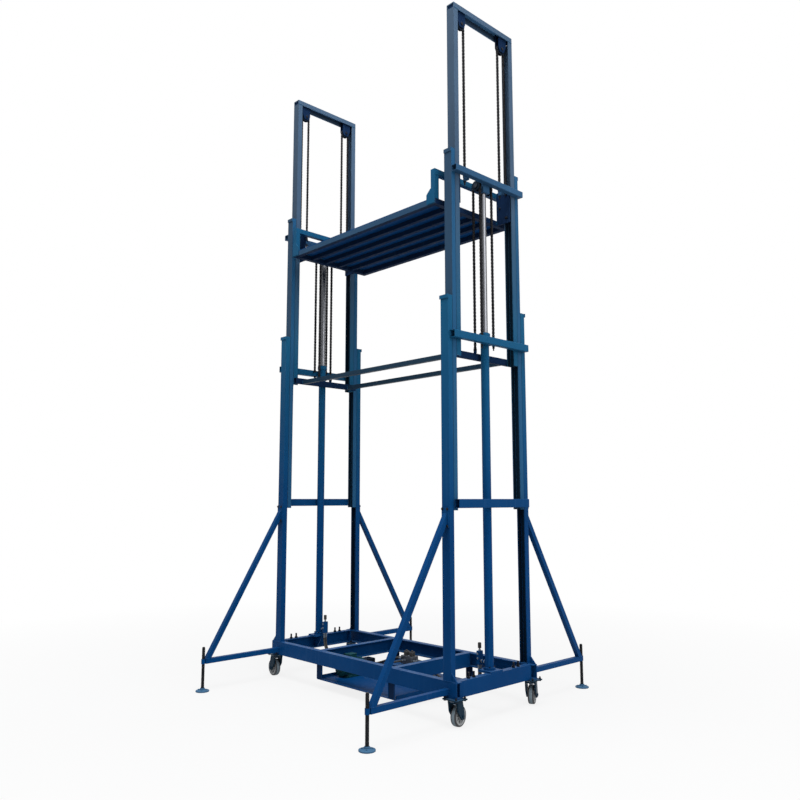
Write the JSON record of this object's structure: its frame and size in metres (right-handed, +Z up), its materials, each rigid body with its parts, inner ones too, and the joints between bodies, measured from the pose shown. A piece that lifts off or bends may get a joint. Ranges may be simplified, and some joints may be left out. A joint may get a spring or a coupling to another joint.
{
  "type": "electric cargo lift",
  "caption": "Wheeled hydraulic goods lift: channel-steel base on casters with outriggers, telescopic masts at both ends and a flat platform carried between them by chains.",
  "frame": {"origin": "on the floor under the middle of the base", "axes": "+X from the left mast to the right mast, +Y from the front to the back, +Z up"},
  "size_m": [2.1199, 2.26, 4.942],
  "materials": {
    "blue_paint": "satin",
    "dark_paint": "satin",
    "green_paint": "satin",
    "foot_paint": "satin",
    "chrome_rod": "polished",
    "steel": "plain",
    "dark_steel": "oiled",
    "cast": "rough",
    "alloy": "machined",
    "hose_rubber": "matte",
    "tyre_rubber": "matte",
    "black_plastic": "matte",
    "zinc": "zinc plated"
  },
  "bodies": {
    "base": {"front_rail": "blue_paint", "back_rail": "blue_paint", "left_end_beam": "blue_paint", "right_end_beam": "blue_paint", "cross_members": "blue_paint", "outer_posts_left": "blue_paint", "outer_posts_right": "blue_paint", "outer_crossbeams": "blue_paint", "outrigger_beams": "blue_paint", "outrigger_braces": "blue_paint", "lift_cylinders": "blue_paint", "power_tray": "dark_paint", "tray_straps": "blue_paint", "oil_tank": "blue_paint", "pump_motor": "green_paint", "gear_pump": "cast", "manifold": "alloy", "throttle_valves": "zinc", "valve_knobs": "black_plastic", "hydraulic_hoses": "hose_rubber", "caster_plates": "zinc", "frame_bolts": "dark_steel"},
    "mid_stage": {"mid_posts_left": "blue_paint", "mid_posts_right": "blue_paint", "mid_top_crossbeams": "blue_paint", "mid_bottom_crossbeams": "blue_paint", "plunger_rods": "chrome_rod", "sheave_axles": "steel", "mid_rollers": "dark_steel", "lift_chains": "dark_steel"},
    "inner_stage": {"inner_posts_left": "blue_paint", "inner_posts_right": "blue_paint", "inner_crossbeams": "blue_paint", "inner_top_crossbeams": "blue_paint", "tie_bars": "blue_paint", "inner_rollers": "dark_steel", "top_sheave_brackets": "blue_paint", "carriage_chains": "dark_steel"},
    "platform": {"deck_plate": "blue_paint", "deck_frame": "dark_paint", "end_uprights": "blue_paint", "end_top_bars": "blue_paint", "carriage_plates": "blue_paint", "carriage_rollers": "dark_steel"},
    "left_lift_sheaves_body": {"left_lift_sheaves": "cast"},
    "right_lift_sheaves_body": {"right_lift_sheaves": "cast"},
    "front_top_sheaves_body": {"front_top_sheaves": "cast"},
    "back_top_sheaves_body": {"back_top_sheaves": "cast"},
    "caster_front_left": {"fork_front_left": "zinc"},
    "roller_wheel_front_left": {"wheel_front_left": "tyre_rubber"},
    "foot_jack_front_left": {"jack_front_left": "foot_paint"},
    "caster_front_right": {"fork_front_right": "zinc"},
    "roller_wheel_front_right": {"wheel_front_right": "tyre_rubber"},
    "foot_jack_front_right": {"jack_front_right": "foot_paint"},
    "caster_back_left": {"fork_back_left": "zinc"},
    "roller_wheel_back_left": {"wheel_back_left": "tyre_rubber"},
    "foot_jack_back_left": {"jack_back_left": "foot_paint"},
    "caster_back_right": {"fork_back_right": "zinc"},
    "roller_wheel_back_right": {"wheel_back_right": "tyre_rubber"},
    "foot_jack_back_right": {"jack_back_right": "foot_paint"}
  },
  "joints": [
    {"name": "mid_lift", "type": "slide", "parent": "base", "child": "mid_stage", "axis": [0, 0, 1], "range_m": [-1, 0.9], "deforming": ["lift_chains"]},
    {"name": "inner_lift", "type": "slide", "parent": "mid_stage", "child": "inner_stage", "axis": [0, 0, 1], "range_m": [-1, 0.9], "deforming": ["carriage_chains"]},
    {"name": "platform_lift", "type": "slide", "parent": "inner_stage", "child": "platform", "axis": [0, 0, 1], "range_m": [-1, 0.9]},
    {"name": "left_lift_sheaves_spin", "type": "hinge", "parent": "mid_stage", "child": "left_lift_sheaves_body", "pos_m": [-0.93, 0, 3.652], "axis": [0, 1, 0], "continuous": true},
    {"name": "right_lift_sheaves_spin", "type": "hinge", "parent": "mid_stage", "child": "right_lift_sheaves_body", "pos_m": [0.93, 0, 3.652], "axis": [0, 1, 0], "continuous": true},
    {"name": "front_top_sheaves_spin", "type": "hinge", "parent": "inner_stage", "child": "front_top_sheaves_body", "pos_m": [0, -0.228, 4.822], "axis": [1, 0, 0], "continuous": true},
    {"name": "back_top_sheaves_spin", "type": "hinge", "parent": "inner_stage", "child": "back_top_sheaves_body", "pos_m": [0, 0.228, 4.822], "axis": [1, 0, 0], "continuous": true},
    {"name": "caster_swivel_front_left", "type": "hinge", "parent": "base", "child": "caster_front_left", "pos_m": [-0.978, -0.39, 0.165], "axis": [0, 0, 1], "continuous": true},
    {"name": "wheel_spin_front_left", "type": "hinge", "parent": "caster_front_left", "child": "roller_wheel_front_left", "pos_m": [-1.01586, -0.38669, 0.065], "axis": [-0.0872, -0.9962, 0], "continuous": true},
    {"name": "jack_travel_front_left", "type": "slide", "parent": "base", "child": "foot_jack_front_left", "axis": [0, 0, 1], "range_m": [-0.05, 0.14]},
    {"name": "caster_swivel_front_right", "type": "hinge", "parent": "base", "child": "caster_front_right", "pos_m": [0.978, -0.39, 0.165], "axis": [0, 0, 1], "continuous": true},
    {"name": "wheel_spin_front_right", "type": "hinge", "parent": "caster_front_right", "child": "roller_wheel_front_right", "pos_m": [0.9714, -0.35258, 0.065], "axis": [-0.9848, -0.1736, 0], "continuous": true},
    {"name": "jack_travel_front_right", "type": "slide", "parent": "base", "child": "foot_jack_front_right", "axis": [0, 0, 1], "range_m": [-0.05, 0.14]},
    {"name": "caster_swivel_back_left", "type": "hinge", "parent": "base", "child": "caster_back_left", "pos_m": [-0.978, 0.39, 0.165], "axis": [0, 0, 1], "continuous": true},
    {"name": "wheel_spin_back_left", "type": "hinge", "parent": "caster_back_left", "child": "roller_wheel_back_left", "pos_m": [-1.00243, 0.41911, 0.065], "axis": [-0.766, -0.6428, 0], "continuous": true},
    {"name": "jack_travel_back_left", "type": "slide", "parent": "base", "child": "foot_jack_back_left", "axis": [0, 0, 1], "range_m": [-0.05, 0.14]},
    {"name": "caster_swivel_back_right", "type": "hinge", "parent": "base", "child": "caster_back_right", "pos_m": [0.978, 0.39, 0.165], "axis": [0, 0, 1], "continuous": true},
    {"name": "wheel_spin_back_right", "type": "hinge", "parent": "caster_back_right", "child": "roller_wheel_back_right", "pos_m": [0.96075, 0.42386, 0.065], "axis": [-0.891, -0.454, 0], "continuous": true},
    {"name": "jack_travel_back_right", "type": "slide", "parent": "base", "child": "foot_jack_back_right", "axis": [0, 0, 1], "range_m": [-0.05, 0.14]}
  ],
  "couplings": [
    {"joint": "inner_lift", "follows": "mid_lift", "ratio": 1},
    {"joint": "platform_lift", "follows": "mid_lift", "ratio": 1},
    {"joint": "left_lift_sheaves_spin", "follows": "mid_lift", "rad_per_m": -31.25},
    {"joint": "right_lift_sheaves_spin", "follows": "mid_lift", "rad_per_m": 31.25},
    {"joint": "front_top_sheaves_spin", "follows": "mid_lift", "rad_per_m": -28.571},
    {"joint": "back_top_sheaves_spin", "follows": "mid_lift", "rad_per_m": 28.571}
  ]
}
